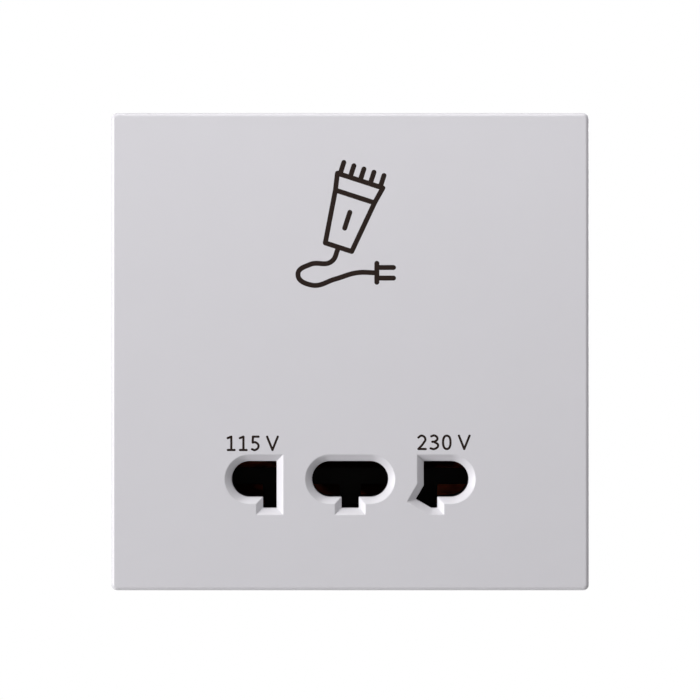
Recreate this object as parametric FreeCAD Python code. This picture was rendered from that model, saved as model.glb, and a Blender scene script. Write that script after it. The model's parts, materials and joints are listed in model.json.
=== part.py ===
# Shaver socket with a built-in isolating transformer, made to be screwed to a square wall box.
# Seen from the front: X runs to the right, Y runs into the wall and Z runs up.
# The origin is the middle of the two fixing slots, on the wall plane. All sizes are in millimetres.

import FreeCAD
import Part
import math
import os

# Cover plate
PLATE_WIDTH = 86.0
PLATE_HEIGHT = 86.0
PLATE_DEPTH = 9.0
FRONT_WALL = 2.6
SKIRT_WALL = 1.8
PLATE_CORNER_RADIUS = 1.0
PLATE_EDGE_RADIUS = 0.7
PRY_SLOT_WIDTH = 8.0
PRY_SLOT_DEPTH = 1.2

# Snap ridges inside the skirt, two on each side
SNAP_LENGTH = 10.0
SNAP_HEIGHT = 0.7
SNAP_OFFSET = 20.0
SNAP_PLAY = 0.2
SNAP_CREST = 0.4

# Pin slots: a round-ended slot with a notch below it for flat blades
SLOT_DROP = 22.95
SLOT_HEIGHT = 6.45
SIDE_SLOT_INNER = 13.27
SIDE_SLOT_LENGTH = 8.1
CENTRE_SLOT_LENGTH = 13.75
NOTCH_DEPTH = 2.0
SIDE_NOTCH_WIDTH = 2.45
CENTRE_NOTCH_WIDTH = 3.1
SLANT_ANGLE = 30.0
SLANT_START = 1.15
SLANT_LENGTH = 2.85
MOUTH_CHAMFER = 1.2

# Frame that is screwed to the wall box and carries everything else
FRAME_GAP = 0.25
FRAME_BASE = 2.5
FRAME_CORNER_CHAMFER = 0.8
RIM_WALL = 1.6
RIM_GAP = 0.4
RIM_LIP = 1.2
FIXING_SPACING = 60.3
FIXING_SLOT_WIDTH = 4.5
FIXING_SLOT_LENGTH = 7.5
FIXING_PAD_MARGIN = 2.2
FIXING_PAD_HEIGHT = 1.0

# Contact block, which stands through the frame
BLOCK_WALL = 1.4
BLOCK_FRONT_GAP = 0.2
BLOCK_GAP = 0.2
WELL_GAP = 0.15
GUIDE_DEPTH = 13.0
CHAMBER_DEPTH = 10.0
CHAMBER_HALF_HEIGHT = 5.6
CHAMBER_SIDE = 0.5
EAR_THICKNESS = 2.0
EAR_HALF_HEIGHT = 4.2
EAR_REACH = 6.0
EAR_SCREW_REACH = 2.9
EAR_BOSS_HALF = 2.6
EAR_BOSS_DEPTH = 5.0
BLOCK_COVER_THICKNESS = 1.6
HOOK_WIDTH = 4.0
HOOK_BARB = 0.6
HOOK_TIP = 1.5
HOOK_PLAY = 0.1

# Contact springs, bent from strip
CONTACT_THICKNESS = 0.6
CONTACT_PLAY = 0.1
CONTACT_LEAD_IN = 0.6
LIP_HALF_GAP = 3.4
LIP_LENGTH = 2.6
THROAT_HALF_GAP = 1.6
FORK_GAP = 0.4
LEAF_LENGTH = 3.4
TAB_WIDTH = 3.0
TAB_LENGTH = 4.0
TAB_RISE = 2.0

# Isolating transformer: a core whose proportions are whole outer-leg widths, a split former, two windings
OUTER_LEG_WIDTH = 7.5
CORE_WIDTH_RATIO = 5
CORE_HEIGHT_RATIO = 6
WINDOW_LENGTH_RATIO = 3
STACK_DEPTH = 20.0
CORE_GAP = 4.0
FORMER_GAP = 0.3
FORMER_WALL = 1.2
FLANGE_MARGIN = 0.5
WINDING_BUILD = 4.8
WINDING_GAP = 0.1
WINDING_RADIUS = 2.5
CUTOUT_THICKNESS = 3.6
CUTOUT_WIDTH = 7.5
CUTOUT_LENGTH = 16.0
CUTOUT_CHAMFER = 0.8
CUTOUT_FRONT_GAP = 0.6

# Rear housing
HOUSING_WALL = 1.8
HOUSING_TOP_GAP = 0.8
HOUSING_FLOOR_GAP = 2.8
HOUSING_BACK_GAP = 0.6
HOUSING_SEAT = 0.5
SEAT_GAP = 0.2
HOUSING_CORNER_RADIUS = 2.0
HOUSING_BACK_CHAMFER = 0.8
LUG_REACH = 5.65
LUG_NOTCH_HEIGHT = 18.0
COLUMN_HALF = 3.3
COLUMN_INSET = 3.9
COLUMN_SIDE_GAP = 0.65
POST_WIDTH = 6.0
VENT_ROWS = 6
VENT_PITCH = 4.5
VENT_WIDTH = 1.8
VENT_LENGTH = 14.0
VENT_INNER = 3.5

# Mains terminals
TERMINAL_PITCH = 11.0
PILLAR_WIDTH = 7.0
PILLAR_DEPTH = 8.0
PILLAR_HEIGHT = 9.0
PILLAR_GAP = 0.1
WIRE_BORE_RADIUS = 1.9
WIRE_ENTRY_WIDTH = 5.0
CARRIER_WALL = 1.6
CARRIER_BACK = 5.2
CARRIER_FLOOR = 3.0
CARRIER_LIP = 1.4
CARRIER_GAP = 0.15
CARRIER_EAR_LENGTH = 6.5
CARRIER_EAR_HEIGHT = 6.0
CARRIER_EAR_THICKNESS = 4.0
SCREW_ACCESS_RADIUS = 2.5
TAG_WIDTH = 3.0
TAG_REACH = 3.5
TAG_THICKNESS = 0.8

# Screws: shank radius, head radius and head height of each kind
LONG_SCREW = (1.5, 2.75, 1.9)
EAR_SCREW = (1.35, 2.5, 1.5)
CORE_SCREW = (1.5, 2.75, 1.9)
CARRIER_SCREW = (1.2, 2.2, 1.3)
SCREW_FIT = 0.05
SCREW_CLEARANCE = 0.2
LONG_SCREW_BITE = 5.0
EAR_SCREW_BITE = 6.0
CORE_SCREW_BITE = 6.0
CARRIER_SCREW_BITE = 3.4
TERMINAL_SCREW_RADIUS = 1.5
TERMINAL_SCREW_LENGTH = 5.0
TERMINAL_SCREW_STANDOFF = 0.2

# Insulated leads inside the housing
MAINS_LEAD_RADIUS = 0.9
OUTPUT_LEAD_RADIUS = 0.8
LEAD_STANDOFF = 2.5
LEAD_SPREAD = 3.0
MAINS_LEAD_DROP = 4.3
MAINS_LEAD_FALL = 1.4
LEAD_BEND = 2.0
LEAD_BEND_SHARE = 0.4
LEAD_SIDES = 8

AXIS_X = FreeCAD.Vector(1, 0, 0)
AXIS_Y = FreeCAD.Vector(0, 1, 0)
AXIS_Z = FreeCAD.Vector(0, 0, 1)
SIDES = (-1, 1)
NEAR = 1e-4
MITRED = 1

# Places worked out from the sizes
plate_front = -PLATE_DEPTH
plate_inside = plate_front + FRONT_WALL
skirt_x = PLATE_WIDTH / 2 - SKIRT_WALL
skirt_z = PLATE_HEIGHT / 2 - SKIRT_WALL
frame_x = skirt_x - FRAME_GAP
frame_z = skirt_z - FRAME_GAP
rim_front = plate_inside + RIM_GAP
window_front = rim_front + RIM_LIP
slot_z = -SLOT_DROP
slot_half = SLOT_HEIGHT / 2
side_slot_outer = SIDE_SLOT_INNER + SIDE_SLOT_LENGTH
centre_slot_half = CENTRE_SLOT_LENGTH / 2

block_half = side_slot_outer + CHAMBER_SIDE + BLOCK_WALL
block_top = slot_z + CHAMBER_HALF_HEIGHT + BLOCK_WALL
block_bottom = slot_z - CHAMBER_HALF_HEIGHT - BLOCK_WALL
block_front = plate_inside + BLOCK_FRONT_GAP
chamber_front = plate_front + GUIDE_DEPTH
block_back = chamber_front + CHAMBER_DEPTH
cover_back = block_back + BLOCK_COVER_THICKNESS
ear_front = -FRAME_BASE - EAR_THICKNESS
ear_screw_x = block_half + EAR_SCREW_REACH
hook_x = (centre_slot_half + SIDE_SLOT_INNER) / 2
hook_outer = CHAMBER_HALF_HEIGHT + BLOCK_WALL
tail_half = CHAMBER_HALF_HEIGHT - CONTACT_PLAY - CONTACT_THICKNESS / 2

core_half_x = CORE_WIDTH_RATIO * OUTER_LEG_WIDTH / 2
core_half_z = CORE_HEIGHT_RATIO * OUTER_LEG_WIDTH / 2
window_half_x = WINDOW_LENGTH_RATIO * OUTER_LEG_WIDTH / 2
core_bottom = block_top + CORE_GAP
core_z = core_bottom + core_half_z
former_half_x = window_half_x - FORMER_GAP
hub_half_y = STACK_DEPTH / 2 + FORMER_GAP + FORMER_WALL
hub_half_z = OUTER_LEG_WIDTH + FORMER_GAP + FORMER_WALL
winding_half_y = hub_half_y + WINDING_BUILD
winding_half_z = hub_half_z + WINDING_BUILD
winding_front = CUTOUT_FRONT_GAP + CUTOUT_THICKNESS
coil_y = winding_front + winding_half_y
core_front = coil_y - STACK_DEPTH / 2
core_back = coil_y + STACK_DEPTH / 2
core_hole_x = core_half_x - OUTER_LEG_WIDTH / 2
core_hole_z = core_half_z - OUTER_LEG_WIDTH / 2

column_x = block_half + COLUMN_SIDE_GAP + COLUMN_HALF
housing_x = column_x + COLUMN_INSET
housing_top = core_z + core_half_z + HOUSING_TOP_GAP + HOUSING_WALL
housing_bottom = block_bottom - HOUSING_FLOOR_GAP - HOUSING_WALL
housing_inner_back = coil_y + winding_half_y + FLANGE_MARGIN + HOUSING_BACK_GAP
housing_back = housing_inner_back + HOUSING_WALL
notch_x = FIXING_SPACING / 2 - LUG_REACH
notch_half = LUG_NOTCH_HEIGHT / 2
column_zs = (housing_bottom + COLUMN_INSET, housing_top - COLUMN_INSET)

carrier_half = TERMINAL_PITCH + PILLAR_WIDTH / 2 + CARRIER_WALL
pillar_back = housing_back - CARRIER_BACK
pillar_front = pillar_back - PILLAR_DEPTH
pillar_y = (pillar_front + pillar_back) / 2
pillar_bottom = housing_bottom + CARRIER_FLOOR
pillar_top = pillar_bottom + PILLAR_HEIGHT
carrier_front = pillar_front - PILLAR_GAP
carrier_top = pillar_top + CARRIER_WALL
carrier_screw_x = carrier_half + CARRIER_LIP + CARRIER_EAR_LENGTH / 2
carrier_ear_top = carrier_top + CARRIER_LIP
carrier_screw_z = carrier_ear_top - CARRIER_EAR_HEIGHT / 2


def cuboid(x, y, z):
    """A box between two limits on each axis."""
    corner = FreeCAD.Vector(x[0], y[0], z[0])
    return Part.makeBox(x[1] - x[0], y[1] - y[0], z[1] - z[0], corner)


def rod(radius, x, z, y):
    """A round bar along Y."""
    return Part.makeCylinder(radius, y[1] - y[0], FreeCAD.Vector(x, y[0], z), AXIS_Y)


def square_bar(half, x, z, y):
    """A square bar along Y."""
    return cuboid((x - half, x + half), y, (z - half, z + half))


def edges_along(shape, axis):
    """The straight edges that run along an axis."""
    straight = [edge for edge in shape.Edges if isinstance(edge.Curve, Part.Line)]
    return [edge for edge in straight if edge.Curve.Direction.cross(axis).Length < NEAR]


def edges_in_plane(shape, y):
    """The edges that lie in the plane at this depth."""
    boxes = [(edge, edge.BoundBox) for edge in shape.Edges]
    return [edge for edge, box in boxes if max(abs(box.YMin - y), abs(box.YMax - y)) < NEAR]


def prism(corners, along):
    """A straight-sided outline, extruded along a vector."""
    return Part.Face(Part.makePolygon(corners + corners[:1])).extrude(along)


def slot_prism(x, z, half, y, round_ends):
    """A level slot from x[0] to x[1]. Each end is a half circle or square."""
    low = x[0] + (half if round_ends[0] else 0)
    high = x[1] - (half if round_ends[1] else 0)

    def point(px, pz):
        return FreeCAD.Vector(px, y[0], z + pz)

    def end(corner, tip, last, is_round):
        if is_round:
            return Part.Arc(corner, tip, last).toShape()
        return Part.makeLine(corner, last)

    edges = [
        Part.makeLine(point(low, -half), point(high, -half)),
        end(point(high, -half), point(x[1], 0), point(high, half), round_ends[1]),
        Part.makeLine(point(high, half), point(low, half)),
        end(point(low, half), point(x[0], 0), point(low, -half), round_ends[0]),
    ]
    return Part.Face(Part.Wire(edges)).extrude(AXIS_Y * (y[1] - y[0]))


def waisted_box(half, z, y, waist, waist_half):
    """A box with a notch in each side where the wall box's fixing lugs stand."""
    body = cuboid((-half, half), y, z)
    for side in SIDES:
        notch = sorted((side * waist, side * half))
        body = body.cut(cuboid(notch, y, (-waist_half, waist_half)))
    return body


def screw(x, z, seat, sense, kind, bite):
    """A cheese-head screw along Y. sense is the way that the shank points."""
    shank_radius, head_radius, head_height = kind
    shank = rod(shank_radius, x, z, sorted((seat, seat + sense * bite)))
    head = rod(head_radius, x, z, sorted((seat, seat - sense * head_height)))
    return shank.fuse(head)


def blade_notch(name, y, grow=0.0):
    """The part of a pin slot that takes a flat blade, from the slot's middle down."""
    floor = slot_z - slot_half - NOTCH_DEPTH - grow
    if name == "common":
        half = CENTRE_NOTCH_WIDTH / 2 + grow
        return cuboid((-half, half), y, (floor, slot_z))
    inner = SIDE_SLOT_INNER - grow
    outer = SIDE_SLOT_INNER + SIDE_NOTCH_WIDTH + grow
    if name == "115v":
        return cuboid((-outer, -inner), y, (floor, slot_z))
    angle = math.radians(SLANT_ANGLE)
    start_z = slot_z - SLANT_START + grow * math.tan(angle / 2)
    tip_x = inner - (SLANT_LENGTH + grow) * math.sin(angle)
    tip_z = start_z - (SLANT_LENGTH + grow) * math.cos(angle)
    heel_x = tip_x + (tip_z - floor) / math.tan(angle)
    points = [(inner, slot_z), (inner, start_z), (tip_x, tip_z)]
    points += [(heel_x, floor), (outer, floor), (outer, slot_z)]
    return prism([FreeCAD.Vector(px, y[0], pz) for px, pz in points], AXIS_Y * (y[1] - y[0]))


def pin_slot(name, y, grow=0.0):
    """One socket opening through a wall: the round-ended slot and its blade notch."""
    half = slot_half + grow
    inner = SIDE_SLOT_INNER - grow
    outer = side_slot_outer + grow
    if name == "115v":
        slot = slot_prism((-outer, -inner), slot_z, half, y, (True, False))
    elif name == "230v":
        slot = slot_prism((inner, outer), slot_z, half, y, (False, True))
    else:
        reach = centre_slot_half + grow
        slot = slot_prism((-reach, reach), slot_z, half, y, (True, True))
    return slot.fuse(blade_notch(name, y, grow)).removeSplitter()


POLES = ("115v", "common", "230v")


def slot_span(name):
    """Where a pin slot starts and ends along X."""
    spans = {
        "115v": (-side_slot_outer, -SIDE_SLOT_INNER),
        "common": (-centre_slot_half, centre_slot_half),
        "230v": (SIDE_SLOT_INNER, side_slot_outer),
    }
    return spans[name]


def fork_span(name):
    """Where a contact's lower leaf stays open along X, so that a flat blade can pass."""
    if name == "common":
        half = CENTRE_NOTCH_WIDTH / 2 + FORK_GAP
        return -half, half
    reach = SIDE_SLOT_INNER + SIDE_NOTCH_WIDTH + FORK_GAP
    return (-reach, -SIDE_SLOT_INNER) if name == "115v" else (SIDE_SLOT_INNER, reach)


def tail_spans(name):
    """The tails that lead a contact's leaves back: the wall that each lies by and its ends along X."""
    low, high = slot_span(name)
    fork_low, fork_high = fork_span(name)
    lower = [(-1, low, fork_low), (-1, fork_high, high)]
    return [(1, low, high)] + [tail for tail in lower if tail[2] - tail[1] > NEAR]


def snap_places():
    """The middle of each snap along its side: the side's axis, its sign and the offset."""
    offsets = (-SNAP_OFFSET, SNAP_OFFSET)
    return [(axis, side, at) for axis in "xz" for side in SIDES for at in offsets]


def snap_ridge(axis, side, at):
    """A wedge along the skirt that clicks into the frame's rim. Its slow ramp leads into the wall."""
    front = window_front + SNAP_PLAY
    back = -FRAME_BASE - SNAP_PLAY
    wall = skirt_x if axis == "x" else skirt_z
    crest = wall - SNAP_HEIGHT
    profile = [(wall, front), (crest, front + SNAP_CREST), (wall, back)]
    if axis == "x":
        corners = [FreeCAD.Vector(side * d, y, at - SNAP_LENGTH / 2) for d, y in profile]
        return prism(corners, AXIS_Z * SNAP_LENGTH)
    corners = [FreeCAD.Vector(at - SNAP_LENGTH / 2, y, side * d) for d, y in profile]
    return prism(corners, AXIS_X * SNAP_LENGTH)


def snap_window(axis, side, at):
    """The opening in the frame's rim that a snap ridge clicks into."""
    reach = SNAP_LENGTH / 2 + SNAP_PLAY
    wall = frame_x if axis == "x" else frame_z
    through = sorted((side * (wall - RIM_WALL), side * wall))
    along = (at - reach, at + reach)
    depth = (window_front, -FRAME_BASE)
    if axis == "x":
        return cuboid(through, depth, along)
    return cuboid(along, depth, through)


def cover_plate():
    """The moulded plate that shows: a shallow square shell with three chamfered pin slots."""
    half_x = PLATE_WIDTH / 2
    half_z = PLATE_HEIGHT / 2
    shell = cuboid((-half_x, half_x), (plate_front, 0), (-half_z, half_z))
    shell = shell.makeFillet(PLATE_CORNER_RADIUS, edges_along(shell, AXIS_Y))
    shell = shell.makeFillet(PLATE_EDGE_RADIUS, edges_in_plane(shell, plate_front))
    hollow = cuboid((-skirt_x, skirt_x), (plate_inside, 0), (-skirt_z, skirt_z))
    shell = shell.cut(hollow)
    shell = shell.cut([pin_slot(name, (plate_front, plate_inside)) for name in POLES])
    front_edges = [(edge, edge.CenterOfMass) for edge in edges_in_plane(shell, plate_front)]
    mouths = [edge for edge, at in front_edges if abs(at.x) < skirt_x and abs(at.z) < skirt_z]
    shell = shell.makeChamfer(MOUTH_CHAMFER, mouths)
    shell = shell.fuse([snap_ridge(*place) for place in snap_places()])
    pry_half = PRY_SLOT_WIDTH / 2
    pry = cuboid((-pry_half, pry_half), (-PRY_SLOT_DEPTH, 0), (-half_z, -skirt_z))
    return shell.cut(pry).removeSplitter()


def column_places():
    """The four corners where a long screw holds the housing to the frame."""
    return [(side * column_x, z) for side in SIDES for z in column_zs]


def mounting_frame():
    """The moulded frame behind the cover, with its fixing slots, rim, bosses and housing seat."""
    frame = cuboid((-frame_x, frame_x), (rim_front, 0), (-frame_z, frame_z))
    frame = frame.makeChamfer(FRAME_CORNER_CHAMFER, edges_along(frame, AXIS_Y))
    tray_x = frame_x - RIM_WALL
    tray_z = frame_z - RIM_WALL
    frame = frame.cut(cuboid((-tray_x, tray_x), (rim_front, -FRAME_BASE), (-tray_z, tray_z)))
    front_y = (rim_front, -FRAME_BASE)
    front_bosses = [square_bar(COLUMN_HALF, x, z, front_y) for x, z in column_places()]
    rear_bosses = []
    pilot = LONG_SCREW[0] + SCREW_FIT
    holes = [rod(pilot, x, z, (rim_front, 0)) for x, z in column_places()]
    ear_pilot = EAR_SCREW[0] + SCREW_FIT
    boss_y = (-FRAME_BASE, EAR_BOSS_DEPTH)
    slot_half_width = FIXING_SLOT_WIDTH / 2
    slot_reach = FIXING_SLOT_LENGTH / 2
    pad_front = -FRAME_BASE - FIXING_PAD_HEIGHT
    for side in SIDES:
        ear_x = side * ear_screw_x
        rear_bosses.append(square_bar(EAR_BOSS_HALF, ear_x, slot_z, boss_y))
        holes.append(rod(ear_pilot, ear_x, slot_z, boss_y))
        middle = side * FIXING_SPACING / 2
        fixing = (middle - slot_reach, middle + slot_reach)
        pad = (fixing[0] - FIXING_PAD_MARGIN, fixing[1] + FIXING_PAD_MARGIN)
        pad_half = slot_half_width + FIXING_PAD_MARGIN
        front_bosses.append(cuboid(pad, (pad_front, -FRAME_BASE), (-pad_half, pad_half)))
        holes.append(slot_prism(fixing, 0, slot_half_width, (pad_front, 0), (True, True)))
    seat_z = (housing_bottom - SEAT_GAP, housing_top + SEAT_GAP)
    seat = waisted_box(housing_x + SEAT_GAP, seat_z, (-HOUSING_SEAT, 0), notch_x + SEAT_GAP,
                       notch_half - SEAT_GAP)
    frame = frame.fuse(front_bosses).cut(seat).fuse(rear_bosses)
    opening_z = (block_bottom - BLOCK_GAP, block_top + BLOCK_GAP)
    opening_half = block_half + BLOCK_GAP
    holes.append(cuboid((-opening_half, opening_half), (rim_front, EAR_BOSS_DEPTH), opening_z))
    holes += [snap_window(*place) for place in snap_places()]
    return frame.cut(holes).removeSplitter()


def hook_places():
    """Where the hooks stand, between the wells: the middle along X and the top or bottom wall."""
    return [(side * hook_x, wall) for side in SIDES for wall in SIDES]


def block_hook(x, wall):
    """An arm that carries on the block's top or bottom wall and clips over the cover's back."""
    inner = CHAMBER_HALF_HEIGHT
    tip = cover_back + HOOK_TIP
    profile = [(hook_outer, block_back), (inner, block_back), (inner, cover_back)]
    profile += [(inner - HOOK_BARB, cover_back), (inner, tip), (hook_outer, tip)]
    corners = [FreeCAD.Vector(x - HOOK_WIDTH / 2, y, slot_z + wall * z) for z, y in profile]
    return prism(corners, AXIS_X * HOOK_WIDTH)


def contact_block():
    """The insulating block: three shaped wells in front, three spring chambers behind, ears and hooks."""
    body = cuboid((-block_half, block_half), (block_front, block_back), (block_bottom, block_top))
    ears = []
    holes = []
    ear_hole = EAR_SCREW[0] + SCREW_CLEARANCE
    for side in SIDES:
        ear_x = sorted((side * block_half, side * (block_half + EAR_REACH)))
        ear_z = (slot_z - EAR_HALF_HEIGHT, slot_z + EAR_HALF_HEIGHT)
        ears.append(cuboid(ear_x, (ear_front, -FRAME_BASE), ear_z))
        holes.append(rod(ear_hole, side * ear_screw_x, slot_z, (ear_front, -FRAME_BASE)))
    chamber_z = (slot_z - CHAMBER_HALF_HEIGHT, slot_z + CHAMBER_HALF_HEIGHT)
    for name in POLES:
        low, high = slot_span(name)
        holes.append(pin_slot(name, (block_front, chamber_front), WELL_GAP))
        chamber_x = (low - CHAMBER_SIDE, high + CHAMBER_SIDE)
        holes.append(cuboid(chamber_x, (chamber_front, block_back), chamber_z))
        holes.append(blade_notch(name, (chamber_front, block_back), WELL_GAP))
    hooks = [block_hook(*place) for place in hook_places()]
    return body.fuse(ears).cut(holes).fuse(hooks).removeSplitter()


def tab_x(name):
    """The middle of a contact's solder tab along X."""
    low, high = slot_span(name)
    return (low + high) / 2


def block_cover():
    """The insulating plate that closes the spring chambers, slit for the contacts and the hooks."""
    depth = (block_back, cover_back)
    plate = cuboid((-block_half, block_half), depth, (block_bottom, block_top))
    holes = []
    hook_reach = HOOK_WIDTH / 2 + HOOK_PLAY
    for x, wall in hook_places():
        hook_z = sorted((slot_z + wall * (CHAMBER_HALF_HEIGHT - HOOK_PLAY), slot_z + wall * hook_outer))
        holes.append(cuboid((x - hook_reach, x + hook_reach), depth, hook_z))
    slit_half = CONTACT_THICKNESS / 2 + WELL_GAP
    for wall, low, high in [tail for name in POLES for tail in tail_spans(name)]:
        tail_z = slot_z + wall * tail_half
        slit_z = (tail_z - slit_half, tail_z + slit_half)
        holes.append(cuboid((low - WELL_GAP, high + WELL_GAP), depth, slit_z))
    return plate.cut(holes)


def strip_outline(line, thickness):
    """The outline of a bent strip whose middle follows (y, z) points, with mitred bends."""
    half = thickness / 2
    directions = []
    for (y0, z0), (y1, z1) in zip(line, line[1:]):
        length = math.hypot(y1 - y0, z1 - z0)
        directions.append(((y1 - y0) / length, (z1 - z0) / length))
    before = directions[:1] + directions
    after = directions + directions[-1:]
    left = []
    right = []
    for (y, z), (ay, az), (by, bz) in zip(line, before, after):
        share = half / (1 + ay * by + az * bz)
        shift_y = -(az + bz) * share
        shift_z = (ay + by) * share
        left.append((y + shift_y, z + shift_z))
        right.append((y - shift_y, z - shift_z))
    return left + right[::-1]


def contact(name):
    """A bronze spring: two bowed leaves, the lower one forked, a web behind the cover and a solder tab."""
    web_front = cover_back + CONTACT_PLAY
    web_y = web_front + CONTACT_THICKNESS / 2
    lip_y = chamber_front + CONTACT_LEAD_IN
    throat_y = lip_y + LIP_LENGTH
    tail_y = throat_y + LEAF_LENGTH
    throat_half = THROAT_HALF_GAP + CONTACT_THICKNESS / 2
    upper = [(lip_y, LIP_HALF_GAP), (throat_y, throat_half), (tail_y, tail_half), (web_y, tail_half)]
    lower = [(y, -z) for y, z in upper[::-1]]
    line = [(y, slot_z + z) for y, z in upper + lower]
    low, high = slot_span(name)
    corners = [FreeCAD.Vector(low, y, z) for y, z in strip_outline(line, CONTACT_THICKNESS)]
    spring = prism(corners, AXIS_X * (high - low))
    tab_half = TAB_WIDTH / 2
    middle = tab_x(name)
    tab_z = slot_z + TAB_RISE
    tab = cuboid((middle - tab_half, middle + tab_half), (web_y, cover_back + TAB_LENGTH),
                 (tab_z - CONTACT_THICKNESS / 2, tab_z + CONTACT_THICKNESS / 2))
    fork = cuboid(fork_span(name), (chamber_front, web_front), (slot_z - CHAMBER_HALF_HEIGHT, slot_z))
    return spring.cut(fork).fuse(tab).removeSplitter()


def transformer_core():
    """The varnished stack of E and I laminations, with a hole in each corner."""
    depth = (core_front, core_back)
    core = cuboid((-core_half_x, core_half_x), depth, (core_z - core_half_z, core_z + core_half_z))
    holes = []
    for side in SIDES:
        window_z = sorted((core_z + side * OUTER_LEG_WIDTH, core_z + side * 2 * OUTER_LEG_WIDTH))
        holes.append(cuboid((-window_half_x, window_half_x), depth, window_z))
    hole = CORE_SCREW[0] + SCREW_CLEARANCE
    holes += [rod(hole, x, z, depth) for x, z in core_places()]
    return core.cut(holes)


def core_places():
    """The four corner holes of the core, each in front of a post."""
    return [(a * core_hole_x, core_z + b * core_hole_z) for a in SIDES for b in SIDES]


def core_screw_places():
    """The two opposite corners where a screw holds the core to its posts."""
    return [(side * core_hole_x, core_z - side * core_hole_z) for side in SIDES]


def ring(x, half_y, half_z):
    """A box around the core's centre leg, between two limits along X."""
    return cuboid(x, (coil_y - half_y, coil_y + half_y), (core_z - half_z, core_z + half_z))


def coil_former():
    """The moulded former: a square tube on the centre leg with three flanges."""
    former = ring((-former_half_x, former_half_x), hub_half_y, hub_half_z)
    flange_y = winding_half_y + FLANGE_MARGIN
    flange_z = winding_half_z + FLANGE_MARGIN
    starts = (-former_half_x, -FORMER_WALL / 2, former_half_x - FORMER_WALL)
    flanges = [ring((x, x + FORMER_WALL), flange_y, flange_z) for x in starts]
    bore = ring((-former_half_x, former_half_x), hub_half_y - FORMER_WALL, hub_half_z - FORMER_WALL)
    return former.fuse(flanges).cut(bore).removeSplitter()


def winding_span(side):
    """Where a winding lies along X: the primary on the left, the secondary on the right."""
    inner = FORMER_WALL / 2 + WINDING_GAP
    outer = former_half_x - FORMER_WALL - WINDING_GAP
    return sorted((side * inner, side * outer))


def winding(side):
    """A taped winding with the rounded corners that the wire takes round the former."""
    span = winding_span(side)
    coil = ring(span, winding_half_y, winding_half_z)
    coil = coil.makeFillet(WINDING_RADIUS, edges_along(coil, AXIS_X))
    return coil.cut(ring(span, hub_half_y, hub_half_z))


def thermal_cutout():
    """The self-resetting cut-out that lies on the primary winding."""
    middle = winding_middle(-1)
    x = (middle - CUTOUT_WIDTH / 2, middle + CUTOUT_WIDTH / 2)
    z = (core_z - CUTOUT_LENGTH / 2, core_z + CUTOUT_LENGTH / 2)
    body = cuboid(x, (winding_front - CUTOUT_THICKNESS, winding_front), z)
    return body.makeChamfer(CUTOUT_CHAMFER, edges_along(body, AXIS_Y))


def rear_housing():
    """The deep box behind the frame, waisted for the wall box's lugs, with columns, posts and vents."""
    z = (housing_bottom, housing_top)
    body = waisted_box(housing_x, z, (-HOUSING_SEAT, housing_back), notch_x, notch_half)
    corners = [edge for edge in edges_along(body, AXIS_Y) if abs(edge.CenterOfMass.z) > notch_half + NEAR]
    body = body.makeFillet(HOUSING_CORNER_RADIUS, corners)
    body = body.makeChamfer(HOUSING_BACK_CHAMFER, edges_in_plane(body, housing_back))
    inside_z = (housing_bottom + HOUSING_WALL, housing_top - HOUSING_WALL)
    hollow = waisted_box(housing_x - HOUSING_WALL, inside_z, (-HOUSING_SEAT, housing_inner_back),
                         notch_x - HOUSING_WALL, notch_half + HOUSING_WALL)
    body = body.cut(hollow)
    depth = (-HOUSING_SEAT, housing_inner_back)
    columns = [square_bar(COLUMN_HALF, x, z, depth) for x, z in column_places()]
    post_y = (core_back, housing_inner_back)
    posts = [square_bar(POST_WIDTH / 2, x, z, post_y) for x, z in core_places()]
    holes = []
    through = LONG_SCREW[0] + SCREW_CLEARANCE
    holes += [rod(through, x, z, (-HOUSING_SEAT, housing_back)) for x, z in column_places()]
    pilot = CORE_SCREW[0] + SCREW_FIT
    pilot_y = (core_back, core_back + CORE_SCREW_BITE)
    holes += [rod(pilot, x, z, pilot_y) for x, z in core_screw_places()]
    small = CARRIER_SCREW[0] + SCREW_CLEARANCE
    for side in SIDES:
        at = (side * carrier_screw_x, carrier_screw_z)
        holes.append(rod(small, *at, (housing_inner_back, housing_back)))
    bay_x = carrier_half + CARRIER_GAP
    bay_y = carrier_front - CARRIER_GAP
    bay_z = carrier_top + CARRIER_GAP
    holes.append(cuboid((-bay_x, bay_x), (bay_y, housing_back), (housing_bottom, bay_z)))
    holes += vents()
    return body.fuse(columns + posts).cut(holes).removeSplitter()


def vents():
    """Two columns of level slots in the back wall, behind the windings."""
    slots = []
    depth = (housing_inner_back, housing_back)
    for side in SIDES:
        span = sorted((side * VENT_INNER, side * (VENT_INNER + VENT_LENGTH)))
        for row in range(VENT_ROWS):
            z = core_z + (row - (VENT_ROWS - 1) / 2) * VENT_PITCH
            slots.append(cuboid(span, depth, (z - VENT_WIDTH / 2, z + VENT_WIDTH / 2)))
    return slots


TERMINALS = {"line": -TERMINAL_PITCH, "neutral": 0.0, "earth": TERMINAL_PITCH}


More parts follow.
